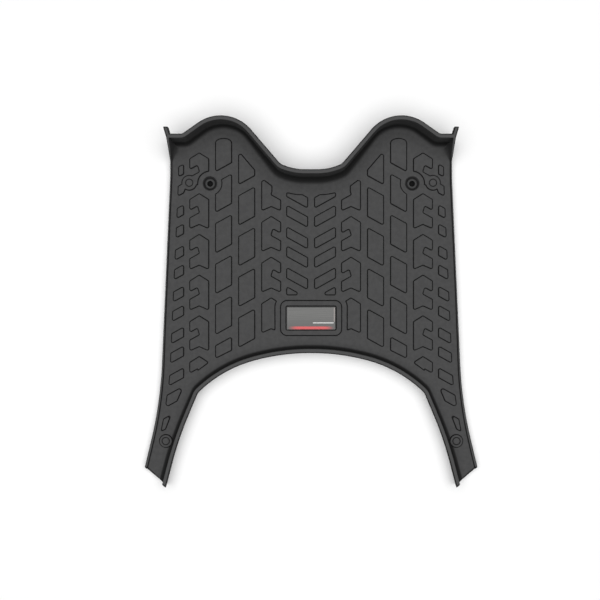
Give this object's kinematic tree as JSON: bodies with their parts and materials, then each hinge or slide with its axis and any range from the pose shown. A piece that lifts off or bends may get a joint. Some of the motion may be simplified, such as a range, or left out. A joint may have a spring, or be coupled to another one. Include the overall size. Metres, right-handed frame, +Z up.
{
  "type": "scooter floor mat",
  "caption": "Moulded rubber floor mat for a scooter, with a raised tread, a shaped front wall, a lip round the rear arch, screw holes and a small badge plate.",
  "frame": {"origin": "centre of the mat's outline box, on the plane of the underside", "axes": "+Y to the front of the scooter, +X to the rider's right, +Z up"},
  "size_m": [0.3672, 0.4032, 0.036],
  "materials": {
    "rubber": "matt moulded",
    "badge": "printed, clear coat"
  },
  "bodies": {
    "root": {"mat": "rubber", "badge_plate": "badge"}
  },
  "joints": []
}
